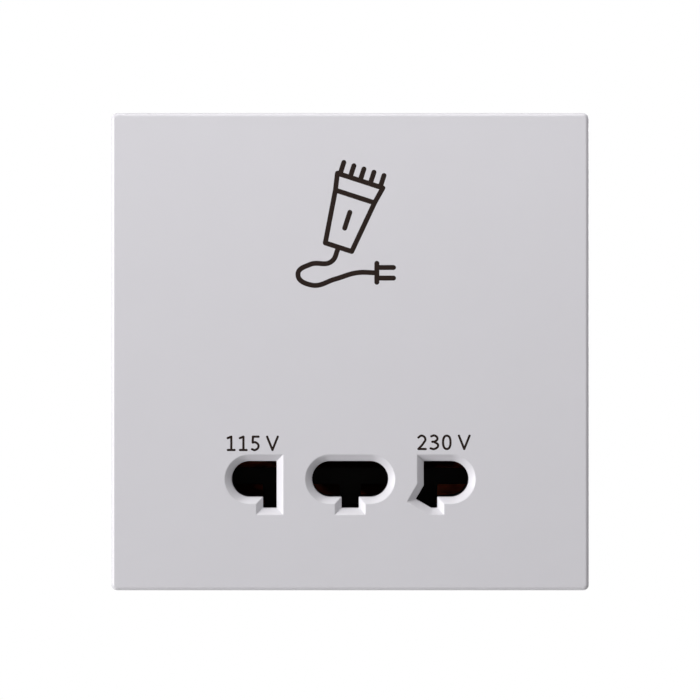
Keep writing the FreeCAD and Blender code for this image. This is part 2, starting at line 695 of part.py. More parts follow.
def terminal_carrier():
    """The moulded strip in the housing's lower rear edge that holds the three mains terminals."""
    outer = cuboid((-carrier_half, carrier_half), (carrier_front, housing_back),
                   (housing_bottom, carrier_top))
    lip_x = carrier_half + CARRIER_LIP
    lip_z = (housing_bottom + HOUSING_WALL, carrier_ear_top)
    lip = cuboid((-lip_x, lip_x), (carrier_front - CARRIER_LIP, housing_inner_back), lip_z)
    ears = []
    holes = []
    ear_z = (carrier_ear_top - CARRIER_EAR_HEIGHT, carrier_ear_top)
    ear_y = (housing_inner_back - CARRIER_EAR_THICKNESS, housing_inner_back)
    pilot = CARRIER_SCREW[0] + SCREW_FIT
    for side in SIDES:
        ear_x = sorted((side * lip_x, side * (lip_x + CARRIER_EAR_LENGTH)))
        ears.append(cuboid(ear_x, ear_y, ear_z))
        holes.append(rod(pilot, side * carrier_screw_x, carrier_screw_z, ear_y))
    pocket_half = PILLAR_WIDTH / 2 + PILLAR_GAP
    pocket_y = (carrier_front - CARRIER_LIP, pillar_back + PILLAR_GAP)
    pocket_z = (pillar_bottom, pillar_top + PILLAR_GAP)
    for x in TERMINALS.values():
        holes.append(cuboid((x - pocket_half, x + pocket_half), pocket_y, pocket_z))
        entry_x = (x - WIRE_ENTRY_WIDTH / 2, x + WIRE_ENTRY_WIDTH / 2)
        entry_y = (pillar_y - WIRE_ENTRY_WIDTH / 2, pillar_y + WIRE_ENTRY_WIDTH / 2)
        holes.append(cuboid(entry_x, entry_y, (housing_bottom, pillar_bottom)))
        screw_z = (pillar_bottom + pillar_top) / 2
        holes.append(rod(SCREW_ACCESS_RADIUS, x, screw_z, (pillar_back, housing_back)))
    return outer.fuse([lip] + ears).cut(holes).removeSplitter()


def terminal(x):
    """A brass pillar with an upright bore for the wire, a tapped hole behind and a solder tag."""
    half = PILLAR_WIDTH / 2
    pillar = cuboid((x - half, x + half), (pillar_front, pillar_back), (pillar_bottom, pillar_top))
    tag_half = TAG_WIDTH / 2
    tag_y = (pillar_front - CARRIER_LIP - TAG_REACH, pillar_front)
    tag = cuboid((x - tag_half, x + tag_half), tag_y, (pillar_top - TAG_THICKNESS, pillar_top))
    foot = FreeCAD.Vector(x, pillar_y, pillar_bottom)
    bore = Part.makeCylinder(WIRE_BORE_RADIUS, PILLAR_HEIGHT, foot, AXIS_Z)
    screw_z = (pillar_bottom + pillar_top) / 2
    tapped = rod(TERMINAL_SCREW_RADIUS + SCREW_FIT, x, screw_z, (pillar_y, pillar_back))
    return pillar.fuse(tag).cut([bore, tapped]).removeSplitter()


def terminal_screws():
    """The three headless clamping screws, backed off so that a wire can go in."""
    tip = pillar_y + WIRE_BORE_RADIUS + TERMINAL_SCREW_STANDOFF
    depth = (tip, tip + TERMINAL_SCREW_LENGTH)
    screw_z = (pillar_bottom + pillar_top) / 2
    return [rod(TERMINAL_SCREW_RADIUS, x, screw_z, depth) for x in TERMINALS.values()]


def eased(points):
    """A route whose corners are each cut off by a short slanted run."""
    route = points[:1]
    for before, corner, after in zip(points, points[1:], points[2:]):
        back = before - corner
        ahead = after - corner
        cut = min(LEAD_BEND, LEAD_BEND_SHARE * min(back.Length, ahead.Length))
        route += [corner + back * (cut / back.Length), corner + ahead * (cut / ahead.Length)]
    return route + points[-1:]


def lead(points, radius):
    """An insulated wire that starts upright. It has few sides and eased bends."""
    route = eased([FreeCAD.Vector(*p) for p in points])
    angles = [2 * math.pi * side / LEAD_SIDES for side in range(LEAD_SIDES)]
    rim = [route[0] + FreeCAD.Vector(math.cos(a), math.sin(a), 0) * radius for a in angles]
    return Part.makePolygon(route).makePipeShell([Part.makePolygon(rim + rim[:1])], True, False, MITRED)


def winding_middle(side):
    """The middle of a winding along X."""
    low, high = winding_span(side)
    return (low + high) / 2


def mains_lead(name, shift):
    """A lead from the primary winding, down behind the core and forward to a terminal's solder tag."""
    exit_x = winding_middle(-1) + shift
    exit_y = core_back + LEAD_STANDOFF
    bend_z = core_bottom - MAINS_LEAD_DROP
    end_x = TERMINALS[name]
    tag_y = pillar_front - CARRIER_LIP - TAG_REACH + MAINS_LEAD_RADIUS
    points = [(exit_x, exit_y, core_z - winding_half_z), (exit_x, exit_y, bend_z)]
    points += [(end_x, tag_y, bend_z - MAINS_LEAD_FALL), (end_x, tag_y, pillar_top)]
    return lead(points, MAINS_LEAD_RADIUS)


def output_lead(name, shift):
    """A lead from the secondary winding, down in front of the core and under it to a contact's tab."""
    exit_x = winding_middle(1) + shift
    exit_y = core_front - LEAD_STANDOFF
    bend_z = (core_bottom + block_top) / 2
    end_x = tab_x(name)
    tab_y = cover_back + TAB_LENGTH - OUTPUT_LEAD_RADIUS
    tab_top = slot_z + TAB_RISE + CONTACT_THICKNESS / 2
    points = [(exit_x, exit_y, core_z - winding_half_z), (exit_x, exit_y, bend_z)]
    points += [(end_x, tab_y, bend_z), (end_x, tab_y, tab_top)]
    return lead(points, OUTPUT_LEAD_RADIUS)


def earth_lead():
    """The short link from the earth terminal's solder tag up to the core."""
    tag_y = pillar_front - CARRIER_LIP - TAG_REACH + MAINS_LEAD_RADIUS
    foot = (TERMINALS["earth"], tag_y, pillar_top)
    return lead([foot, (TERMINALS["earth"], tag_y, core_bottom)], MAINS_LEAD_RADIUS)


def screw_groups():
    """Every set of identical screws, one group to a node."""
    column_bite = housing_back + LONG_SCREW_BITE
    ear_places = [(side * ear_screw_x, slot_z) for side in SIDES]
    carrier_places = [(side * carrier_screw_x, carrier_screw_z) for side in SIDES]
    core_bite = STACK_DEPTH + CORE_SCREW_BITE
    carrier_bite = HOUSING_WALL + CARRIER_SCREW_BITE
    return {
        "housing_screws": [screw(*p, housing_back, -1, LONG_SCREW, column_bite) for p in column_places()],
        "block_screws": [screw(*p, ear_front, 1, EAR_SCREW, EAR_SCREW_BITE) for p in ear_places],
        "core_screws": [screw(*p, core_front, 1, CORE_SCREW, core_bite) for p in core_screw_places()],
        "carrier_screws": [screw(*p, housing_back, -1, CARRIER_SCREW, carrier_bite) for p in carrier_places],
        "terminal_screws": terminal_screws(),
    }


def all_pieces():
    """Every node of the assembly by name."""
    pieces = {
        "cover_plate": cover_plate(),
        "mounting_frame": mounting_frame(),
        "contact_block": contact_block(),
        "block_cover": block_cover(),
        "transformer_core": transformer_core(),
        "coil_former": coil_former(),
        "primary_winding": winding(-1),
        "secondary_winding": winding(1),
        "thermal_cutout": thermal_cutout(),
        "rear_housing": rear_housing(),
        "terminal_carrier": terminal_carrier(),
        "line_lead": mains_lead("line", -LEAD_SPREAD),
        "neutral_lead": mains_lead("neutral", LEAD_SPREAD),
        "earth_lead": earth_lead(),
        "lead_115v": output_lead("115v", -LEAD_SPREAD),
        "lead_common": output_lead("common", 0),
        "lead_230v": output_lead("230v", LEAD_SPREAD),
    }
    pieces.update({f"contact_{name}": contact(name) for name in POLES})
    pieces.update({f"{name}_terminal": terminal(x) for name, x in TERMINALS.items()})
    pieces.update({name: Part.makeCompound(group) for name, group in screw_groups().items()})
    return pieces


def main():
    os.makedirs("parts", exist_ok=True)
    for name, shape in all_pieces().items():
        shape.exportStep(f"parts/{name}.step")


if __name__ == "__main__":
    main()
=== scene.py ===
"""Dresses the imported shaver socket: finishes, print, screws, leads, light and camera."""

import json
import math

import bmesh
import bpy
from mathutils import Matrix, Vector

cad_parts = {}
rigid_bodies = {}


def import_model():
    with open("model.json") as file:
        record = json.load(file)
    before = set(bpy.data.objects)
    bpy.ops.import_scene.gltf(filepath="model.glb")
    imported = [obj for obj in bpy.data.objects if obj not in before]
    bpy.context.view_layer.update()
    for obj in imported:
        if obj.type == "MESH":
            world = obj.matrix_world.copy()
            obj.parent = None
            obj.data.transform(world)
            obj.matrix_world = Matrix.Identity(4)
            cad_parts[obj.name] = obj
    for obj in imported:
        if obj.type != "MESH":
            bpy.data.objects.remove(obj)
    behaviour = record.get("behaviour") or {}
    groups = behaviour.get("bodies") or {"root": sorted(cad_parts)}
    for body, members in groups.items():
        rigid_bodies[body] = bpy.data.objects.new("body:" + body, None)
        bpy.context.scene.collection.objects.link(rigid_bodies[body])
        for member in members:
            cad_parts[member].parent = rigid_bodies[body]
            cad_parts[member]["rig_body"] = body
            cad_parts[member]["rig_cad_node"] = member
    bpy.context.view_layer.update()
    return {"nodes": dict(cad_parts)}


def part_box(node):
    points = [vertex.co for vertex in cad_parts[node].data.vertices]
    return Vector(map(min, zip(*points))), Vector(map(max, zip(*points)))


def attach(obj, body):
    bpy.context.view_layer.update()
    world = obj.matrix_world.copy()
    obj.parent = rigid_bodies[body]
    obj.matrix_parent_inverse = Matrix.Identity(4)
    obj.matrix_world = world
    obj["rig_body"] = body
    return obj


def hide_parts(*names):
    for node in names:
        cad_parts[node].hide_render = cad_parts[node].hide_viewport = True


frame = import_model()
NODES = frame["nodes"]

bl_info = {
    "name": "Shaver Socket Dresser",
    "version": (1, 0, 0),
    "blender": (4, 5, 0),
    "location": "3D View > Sidebar > Shaver Socket",
    "description": "Finishes, print, screws and studio for a square shaver socket",
    "category": "Object",
}

MM = 0.001
BODY = "root"
PLATE_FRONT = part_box("cover_plate")[0].y
# Edges sharper than the first angle stay sharp, and faces that differ by less than the second are one
SMOOTH_ANGLE = math.radians(32)
FLAT_ANGLE = math.radians(0.1)
MERGE_DISTANCE = 0.001 * MM
EDGE_SEGMENTS = 2
NORMAL_WEIGHT = 80
# A face faces along an axis when its normal's share along it is larger than this
FACING = 0.9


def linear(hex_colour):
    """An sRGB hex value as a linear colour with full alpha."""
    shares = [int(hex_colour[i:i + 2], 16) / 255 for i in (0, 2, 4)]
    return tuple(s / 12.92 if s <= 0.04045 else ((s + 0.055) / 1.055) ** 2.4 for s in shares) + (1.0,)


def colour(label, hex_colour):
    """A colour that a user may change."""
    return bpy.props.FloatVectorProperty(
        name=label, description=f"Colour of the {label.lower()}", subtype="COLOR", size=4,
        min=0.0, max=1.0, default=linear(hex_colour))


def length(label, words, millimetres):
    """A length that a user may change."""
    return bpy.props.FloatProperty(
        name=label, description=words, unit="LENGTH", min=0.0, precision=6, default=millimetres * MM)


def power(label, words, watts):
    """A lamp's power that a user may change."""
    return bpy.props.FloatProperty(name=label, description=words, unit="POWER", min=0.0, default=watts)


class SocketColours(bpy.types.PropertyGroup):
    """Colours of the pieces that show."""
    plate: colour("Cover plate", "CECCD1")
    frame: colour("Mounting frame", "C3C3C5")
    housing: colour("Rear housing", "4A4C50")
    block: colour("Contact block", "160B08")
    carrier: colour("Terminal carrier", "DAD6C8")
    former: colour("Coil former", "D8D0B4")
    cutout: colour("Thermal cut-out", "1D1D1F")
    ink: colour("Printed ink", "221814")
    floor: colour("Studio floor", "F0F0EF")


class PrintSizes(bpy.types.PropertyGroup):
    """Sizes of the print on the plate."""
    stroke: length("Stroke", "Width of the pictogram's lines", 0.9)
    figure_stroke: length("Figure stroke", "Width of the figures' lines", 0.41)
    figure: length("Figure height", "Height of the figures between the middles of their lines", 2.4)
    rise: length("Ink rise", "How far the ink stands above the plate", 0.02)
    pictogram_side: length("Pictogram side", "Middle of the pictogram left of the plate's middle", 0.8)
    pictogram_z: length("Pictogram height", "Middle of the pictogram above the plate's middle", 22.8)
    figure_drop: length("Figure drop", "Foot of the figures below the plate's middle", 17.7)


class StudioSettings(bpy.types.PropertyGroup):
    """Light and camera."""
    camera_distance: length("Camera distance", "From the lens to the plate's front", 600.0)
    camera_side: length("Camera side", "How far left of the plate's middle the camera stands", 0.03)
    camera_rise: length("Camera rise", "How far above the plate's middle the camera stands", 0.3)
    view_width: length("View width", "Width of what the camera sees at the plate's front", 126.0)
    key_power: power("Key power", "Power of the soft lamp on the left", 26.7)
    top_power: power("Top power", "Power of the soft lamp overhead", 1.17)
    back_power: power("Back power", "Power of the lamp behind and to the right", 10.0)
    fill: bpy.props.FloatProperty(
        name="Fill", description="Strength of the even light all round", min=0.0, default=0.15)


def settings():
    """The three groups of values that a user may change."""
    scene = bpy.context.scene
    return scene.socket_colours, scene.print_sizes, scene.studio_settings


# Materials

POLYCARBONATE_IOR = 1.585
PLASTIC_ROUGH_DRIFT = 0.04
METAL_ROUGH_DRIFT = 0.06
# Share of the floor's look that the lamps don't change
EVEN_SHARE = 0.92
# This seed lays the painted shade, a darker brown, on the middle contact and on part of the outer ones, as
# in the picture
SLOT_SHADE_SEED = 294.5
# A wave texture of scale 1 repeats after this length
WAVE_LENGTH = math.tau / 20
# Sockets of a node that mixes colours, by number, because their names repeat
MIX_SHARE, MIX_FIRST, MIX_SECOND, MIX_RESULT = 0, 6, 7, 2


def per_metre(millimetres):
    """A texture scale whose features are about this large."""
    return 1 / (millimetres * MM)


def add_node(tree, kind, inputs=None, **options):
    """Adds a node with its settings, and fills its inputs with values or links."""
    made = tree.nodes.new(kind)
    for name, value in options.items():
        setattr(made, name, value)
    for key, value in (inputs or {}).items():
        if isinstance(value, bpy.types.NodeSocket):
            tree.links.new(value, made.inputs[key])
        else:
            made.inputs[key].default_value = value
    return made


def new_material(name, constants):
    """A material whose shader has these constants on its own sockets, with its object coordinates."""
    material = bpy.data.materials.new(name)
    material.use_nodes = True
    tree = material.node_tree
    shader = tree.nodes["Principled BSDF"]
    for socket, value in constants.items():
        shader.inputs[socket].default_value = value
    place = add_node(tree, "ShaderNodeTexCoord").outputs["Object"]
    return material, tree, shader, place


def shaded(base, share):
    """A colour made darker or lighter by a share."""
    return tuple(min(1.0, c * (1 + share)) for c in base[:3]) + (1.0,)


def mottle(tree, shader, place, base, patch_mm, drift):
    """Lets the colour drift between a darker and a lighter shade in patches of this size."""
    cloud = add_node(tree, "ShaderNodeTexNoise", {"Vector": place, "Scale": per_metre(patch_mm)})
    mix = add_node(
        tree, "ShaderNodeMix",
        {MIX_SHARE: cloud.outputs["Fac"], MIX_FIRST: shaded(base, -drift), MIX_SECOND: shaded(base, drift)},
        data_type="RGBA")
    tree.links.new(mix.outputs[MIX_RESULT], shader.inputs["Base Color"])


def gloss(tree, shader, place, patch_mm, low, high):
    """Lets the roughness drift between two values in patches of this size."""
    cloud = add_node(tree, "ShaderNodeTexNoise", {"Vector": place, "Scale": per_metre(patch_mm)})
    rough = add_node(
        tree, "ShaderNodeMapRange", {"Value": cloud.outputs["Fac"], "To Min": low, "To Max": high})
    tree.links.new(rough.outputs["Result"], shader.inputs["Roughness"])


def lay_over(tree, share, second):
    """Covers the colour so far with a second one by a share."""
    shader = tree.nodes["Principled BSDF"]
    ground = shader.inputs["Base Color"].links[0].from_socket
    mix = add_node(
        tree, "ShaderNodeMix", {MIX_SHARE: share, MIX_FIRST: ground, MIX_SECOND: second}, data_type="RGBA")
    tree.links.new(mix.outputs[MIX_RESULT], shader.inputs["Base Color"])


def relief(tree, shader, height, depth_mm, strength):
    """Turns a height into bump of this depth."""
    bump = add_node(
        tree, "ShaderNodeBump", {"Height": height, "Distance": depth_mm * MM, "Strength": strength})
    tree.links.new(bump.outputs["Normal"], shader.inputs["Normal"])


def moulded_plastic(name, base, constants, rough, grain_mm, depth_mm, patch_mm, drift):
    """Plastic from a textured tool: its grain breaks up the highlight, its flow tints it."""
    material, tree, shader, place = new_material(name, constants)
    mottle(tree, shader, place, base, patch_mm, drift)
    gloss(tree, shader, place, patch_mm / 3, rough - PLASTIC_ROUGH_DRIFT, rough + PLASTIC_ROUGH_DRIFT)
    grain = add_node(
        tree, "ShaderNodeTexNoise", {"Vector": place, "Scale": per_metre(grain_mm), "Detail": 3.0})
    relief(tree, shader, grain.outputs["Fac"], depth_mm, strength=0.5)
    return material


def satin_polycarbonate(base):
    """Moulded polycarbonate from a fine-blasted tool: a cool white with a broad soft sheen."""
    # The grit is about 0.05 mm and is drawn four times as coarse so that it shows
    return moulded_plastic(
        "satin_polycarbonate", base, {"IOR": POLYCARBONATE_IOR},
        rough=0.42, grain_mm=0.2, depth_mm=0.004, patch_mm=9.0, drift=0.012)


def matt_polycarbonate(base):
    """Moulded polycarbonate from a blasted tool: pale and dull, because the cover hides it."""
    return moulded_plastic(
        "matt_polycarbonate", base, {"IOR": POLYCARBONATE_IOR},
        rough=0.55, grain_mm=0.3, depth_mm=0.01, patch_mm=7.0, drift=0.03)


def spark_eroded_polycarbonate(base):
    """Moulded polycarbonate from a spark-eroded tool: coarse pits that leave it dark and matt."""
    # The pits are about 0.15 mm and are drawn four times as coarse so that they show
    return moulded_plastic(
        "spark_eroded_polycarbonate", base, {"IOR": POLYCARBONATE_IOR},
        rough=0.55, grain_mm=0.6, depth_mm=0.06, patch_mm=8.0, drift=0.08)


def moulded_phenolic(base):
    """Compression-moulded phenolic: near-black brown and dull, with flow clouds."""
    # Wood flour in the resin dulls its skin, so that deep wells look black
    return moulded_plastic(
        "moulded_phenolic", base, {"IOR": 1.6, "Specular IOR Level": 0.15},
        rough=0.62, grain_mm=0.6, depth_mm=0.005, patch_mm=3.0, drift=0.3)


def glass_filled_case(base):
    """A moulded glass-filled case: black with a dry, fibrous surface."""
    return moulded_plastic(
        "glass_filled_case", base, {"IOR": 1.56},
        rough=0.5, grain_mm=0.25, depth_mm=0.01, patch_mm=2.0, drift=0.15)


def natural_polyamide(name, base):
    """Undyed polyamide: creamy and waxy, with light that soaks a little way in."""
    return moulded_plastic(
        name, base, {"IOR": 1.53, "Subsurface Weight": 0.2, "Subsurface Scale": 0.5 * MM},
        rough=0.38, grain_mm=0.35, depth_mm=0.006, patch_mm=5.0, drift=0.03)


def streaked_metal(name, base, rough, streak_mm, stretch, depth_mm):
    """Bare metal with the fine parallel streaks that a tool or a roller leaves."""
    material, tree, shader, place = new_material(name, {"Metallic": 1.0})
    mottle(tree, shader, place, base, patch_mm=3.0, drift=0.05)
    gloss(
        tree, shader, place, patch_mm=1.2, low=rough - METAL_ROUGH_DRIFT, high=rough + METAL_ROUGH_DRIFT)
    turned = add_node(tree, "ShaderNodeMapping", {"Vector": place, "Scale": stretch})
    streaks = add_node(
        tree, "ShaderNodeTexNoise", {"Vector": turned.outputs["Vector"], "Scale": per_metre(streak_mm)})
    relief(tree, shader, streaks.outputs["Fac"], depth_mm, strength=0.4)
    return material


def rolled_bronze():
    """Rolled phosphor bronze strip: dull reddish metal, with painted shade in wide patches of darker brown.
    """
    material = streaked_metal(
        "rolled_phosphor_bronze", linear("CC6E4E"),
        rough=0.65, streak_mm=0.15, stretch=(1.0, 0.1, 1.0), depth_mm=0.004)
    tree = material.node_tree
    place = add_node(tree, "ShaderNodeTexCoord").outputs["Object"]
    # Painted shade: a darker brown laid over the bronze in wide patches, so that the contacts look dark
    # inside their slots
    cloud = add_node(
        tree, "ShaderNodeTexNoise", {"Vector": place, "W": SLOT_SHADE_SEED, "Scale": per_metre(9.0)},
        noise_dimensions="4D")
    painted_shade = add_node(
        tree, "ShaderNodeMapRange",
        {"Value": cloud.outputs["Fac"], "From Min": 0.45, "From Max": 0.62, "To Min": 1.0, "To Max": 0.0})
    lay_over(tree, painted_shade.outputs["Result"], linear("35180F"))
    return material


def machined_brass():
    """Sawn and drilled brass bar: yellow metal with fine lines across the bar."""
    return streaked_metal(
        "machined_brass", linear("D6B468"),
        rough=0.28, streak_mm=0.2, stretch=(0.15, 1.0, 1.0), depth_mm=0.006)


def zinc_plate():
    """Bright zinc on cold-headed steel: bluish white metal, slightly uneven from the plating."""
    return streaked_metal(
        "bright_zinc_plate", linear("B4B8BD"),
        rough=0.27, streak_mm=0.4, stretch=(1.0, 1.0, 1.0), depth_mm=0.006)


def varnished_laminations():
    """A stack of varnished electrical steel: dark edges with one fine line for each sheet."""
    material, tree, shader, place = new_material("varnished_laminations", {"Metallic": 0.4, "IOR": 1.5})
    mottle(tree, shader, place, linear("55493F"), patch_mm=6.0, drift=0.25)
    gloss(tree, shader, place, patch_mm=2.0, low=0.3, high=0.5)
    # Each sheet is 0.5 mm thick and the stack lies along Y
    sheets = add_node(
        tree, "ShaderNodeTexWave",
        {"Vector": place, "Scale": per_metre(0.5) * WAVE_LENGTH, "Distortion": 0.3},
        bands_direction="Y", wave_profile="SAW")
    relief(tree, shader, sheets.outputs["Fac"], depth_mm=0.05, strength=0.7)
    return material


def taped_winding(name, base):
    """Enamelled wire under clear polyester tape: each turn shows as a rib below a glossy skin."""
    material, tree, shader, place = new_material(
        name, {"IOR": 1.6, "Coat Weight": 0.6, "Coat Roughness": 0.15})
    mottle(tree, shader, place, base, patch_mm=4.0, drift=0.1)
    gloss(tree, shader, place, patch_mm=2.0, low=0.25, high=0.4)
    # The turns lie 0.45 mm apart along X
    turns = add_node(
        tree, "ShaderNodeTexWave",
        {"Vector": place, "Scale": per_metre(0.45) * WAVE_LENGTH, "Distortion": 0.6},
        bands_direction="X", wave_profile="SIN")
    relief(tree, shader, turns.outputs["Fac"], depth_mm=0.08, strength=0.6)
    return material


def extruded_pvc(name, base):
    """Extruded PVC insulation: smooth and half glossy, with faint drag marks."""
    material, tree, shader, place = new_material(name, {"IOR": 1.53})
    mottle(tree, shader, place, base, patch_mm=2.0, drift=0.06)
    gloss(tree, shader, place, patch_mm=1.0, low=0.28, high=0.38)
    drag = add_node(tree, "ShaderNodeTexNoise", {"Vector": place, "Scale": per_metre(0.3)})
    relief(tree, shader, drag.outputs["Fac"], depth_mm=0.004, strength=0.4)
    return material


def stripe(insulation, second, middle):
    """Insulation extruded in two colours: the second one lies along the side to the left of the middle."""
    tree = insulation.node_tree
    place = add_node(tree, "ShaderNodeTexCoord").outputs["Object"]
    across = add_node(tree, "ShaderNodeSeparateXYZ", {"Vector": place}).outputs["X"]
    left = add_node(tree, "ShaderNodeMath", {0: across, 1: middle}, operation="LESS_THAN").outputs[0]
    lay_over(tree, left, second)


def pad_printed_ink(base):
    """Pad-printed ink: a thin dull black film with tiny pinholes of paler tone."""
    material, tree, shader, place = new_material("pad_printed_ink", {"IOR": 1.5, "Specular IOR Level": 0.1})
    mottle(tree, shader, place, base, patch_mm=0.25, drift=0.7)
    gloss(tree, shader, place, patch_mm=0.5, low=0.5, high=0.65)
    film = add_node(tree, "ShaderNodeTexNoise", {"Vector": place, "Scale": per_metre(0.12)})
    relief(tree, shader, film.outputs["Fac"], depth_mm=0.003, strength=0.4)
    return material


def seen_directly(tree):
    """A share that is 1 for what the camera, a reflection or glass shows, and 0 for scattered light."""
    rays = add_node(tree, "ShaderNodeLightPath").outputs
    seen = add_node(
        tree, "ShaderNodeMath", {0: rays["Is Camera Ray"], 1: rays["Is Glossy Ray"]}, operation="MAXIMUM")
    seen = add_node(
        tree, "ShaderNodeMath", {0: seen.outputs[0], 1: rays["Is Transmission Ray"]}, operation="MAXIMUM")
    return seen.outputs[0]


def painted_board(base):
    """A matt painted board: pale, with a faint roller stipple. It looks evenly lit, with soft shadows."""
    material, tree, shader, place = new_material("painted_board", {"IOR": 1.45})
    mottle(tree, shader, place, base, patch_mm=60.0, drift=0.01)
    gloss(tree, shader, place, patch_mm=30.0, low=0.75, high=0.85)
    stipple = add_node(tree, "ShaderNodeTexNoise", {"Vector": place, "Scale": per_metre(2.0)})
    relief(tree, shader, stipple.outputs["Fac"], depth_mm=0.05, strength=0.3)
    even = add_node(tree, "ShaderNodeMath", {0: seen_directly(tree), 1: EVEN_SHARE}, operation="MULTIPLY")
    glow = add_node(tree, "ShaderNodeEmission", {"Color": base, "Strength": 1.0})
    mix = add_node(
        tree, "ShaderNodeMixShader",
        {0: even.outputs[0], 1: shader.outputs["BSDF"], 2: glow.outputs["Emission"]})
    tree.links.new(mix.outputs["Shader"], tree.nodes["Material Output"].inputs["Surface"])
    return material


# Modelling helpers

def deselect_all():
    """Leaves nothing selected, so that the next operator acts on its own piece alone."""
    bpy.ops.object.select_all(action="DESELECT")


def make_active(*objects):
    """Selects these objects alone, with the first one active."""
    deselect_all()
    for obj in objects:
        obj.select_set(True)
    bpy.context.view_layer.objects.active = objects[0]


def select_faces(obj, test):
    """In edit mode, selects the faces that pass a test of their place or normal."""
    bpy.ops.mesh.select_mode(type="FACE")
    shape = bmesh.from_edit_mesh(obj.data)
    for face in shape.faces:
        face.select_set(test(face))
    shape.select_flush_mode()
    bmesh.update_edit_mesh(obj.data)


def apply_modifier(obj, kind, **options):
    """Adds a modifier and applies it."""
    modifier = obj.modifiers.new(kind.title(), kind)
    for name, value in options.items():
        setattr(modifier, name, value)
    make_active(obj)
    bpy.ops.object.modifier_apply(modifier=modifier.name)


def apply_place(obj):
    """Moves an object's place, turn and size into its mesh."""
    make_active(obj)
    bpy.ops.object.transform_apply(location=True, rotation=True, scale=True)


def edit_whole(obj, step, **options):
    """Runs one of edit mode's operators on an object's whole mesh."""
    make_active(obj)
    bpy.ops.object.mode_set(mode="EDIT")
    bpy.ops.mesh.select_all(action="SELECT")
    step(**options)
    bpy.ops.object.mode_set(mode="OBJECT")


def rename(obj, name):
    """Names an object and its mesh alike."""
    obj.name = name
    obj.data.name = name


def duplicate(obj):
    """A copy of an object, with its own mesh."""
    make_active(obj)
    bpy.ops.object.duplicate()
    return bpy.context.object


def join(objects, name):
    """One object out of several."""
    make_active(*objects)
    bpy.ops.object.join()
    rename(objects[0], name)
    return objects[0]


def shade(obj):
    """Smooths the round faces and keeps the sharp edges."""
    make_active(obj)
    bpy.ops.object.shade_smooth_by_angle(angle=SMOOTH_ANGLE)


def turn_outward(obj):
    """Merges a new shape's doubles and points its faces outward."""
    edit_whole(obj, bpy.ops.mesh.remove_doubles, threshold=MERGE_DISTANCE)
    edit_whole(obj, bpy.ops.mesh.normals_make_consistent, inside=False)


def set_material(obj, material):
    """Gives a piece one material all over."""
    obj.data.materials.clear()
    obj.data.materials.append(material)


def place_piece(obj, material, stands_for=None):
    """Finishes a new piece: its material, its body and the CAD node that it stands for."""
    set_material(obj, material)
    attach(obj, BODY)
    if stands_for:
        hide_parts(stands_for)


def finished_copy(node, name, material, edge):
    """A copy of a CAD node that stands for it, with whole faces, and edges this many millimetres wide."""
    copy = duplicate(NODES[node])
    bpy.ops.object.parent_clear(type="CLEAR")
    del copy["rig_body"]
    del copy["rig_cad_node"]
    rename(copy, name)
    bpy.ops.mesh.customdata_custom_splitnormals_clear()
    edit_whole(copy, bpy.ops.mesh.remove_doubles, threshold=MERGE_DISTANCE)
    apply_modifier(
        copy, "BEVEL", width=edge * MM, segments=EDGE_SEGMENTS, limit_method="ANGLE",
        angle_limit=SMOOTH_ANGLE, use_clamp_overlap=False, loop_slide=False)
    edit_whole(copy, bpy.ops.mesh.dissolve_limited, angle_limit=FLAT_ANGLE)
    shade(copy)
    apply_modifier(copy, "WEIGHTED_NORMAL", weight=NORMAL_WEIGHT, keep_sharp=True)
    place_piece(copy, material, node)


# Mouldings, contacts, terminals and transformer

class SOCKET_OT_mouldings(bpy.types.Operator):
    """Finish the cover plate, frame, housing and the other mouldings"""
    bl_idname = "shaver_socket.mouldings"
    bl_label = "Finish Mouldings"

    def execute(self, context):
        colours = settings()[0]
        phenolic = moulded_phenolic(colours.block[:])
        # Each moulding's material, and the width of its edges in millimetres
        finishes = {
            "cover_plate": (satin_polycarbonate(colours.plate[:]), 0.12),
            "mounting_frame": (matt_polycarbonate(colours.frame[:]), 0.2),
            "rear_housing": (spark_eroded_polycarbonate(colours.housing[:]), 0.3),
            "contact_block": (phenolic, 0.1),
            "block_cover": (phenolic, 0.1),
            "terminal_carrier": (natural_polyamide("natural_polyamide", colours.carrier[:]), 0.2),
        }
        for node, (material, edge) in finishes.items():
            finished_copy(node, f"{node}_moulding", material, edge)
        return {"FINISHED"}


class SOCKET_OT_metal_parts(bpy.types.Operator):
    """Finish the contact springs and the terminals"""
    bl_idname = "shaver_socket.metal_parts"
    bl_label = "Finish Contacts and Terminals"

    def execute(self, context):
        bronze = rolled_bronze()
        for pole in ("115v", "common", "230v"):
            set_material(NODES[f"contact_{pole}"], bronze)
        brass = machined_brass()
        for wire in ("line", "neutral", "earth"):
            set_material(NODES[f"{wire}_terminal"], brass)
        return {"FINISHED"}


class SOCKET_OT_transformer(bpy.types.Operator):
    """Finish the core, the coil former, the windings and the cut-out"""
    bl_idname = "shaver_socket.transformer"
    bl_label = "Finish Transformer"

    def execute(self, context):
        colours = settings()[0]
        set_material(NODES["transformer_core"], varnished_laminations())
        set_material(NODES["coil_former"], natural_polyamide("former_polyamide", colours.former[:]))
        set_material(NODES["primary_winding"], taped_winding("taped_primary", linear("C8A23C")))
        set_material(NODES["secondary_winding"], taped_winding("taped_secondary", linear("B87A35")))
        set_material(NODES["thermal_cutout"], glass_filled_case(colours.cutout[:]))
        return {"FINISHED"}


# Leads, in millimetres

LEAD_ROUNDNESS = 5
MAINS_RADIUS, CONTACT_RADIUS = 0.9, 0.8
EARTH_X = 11.0
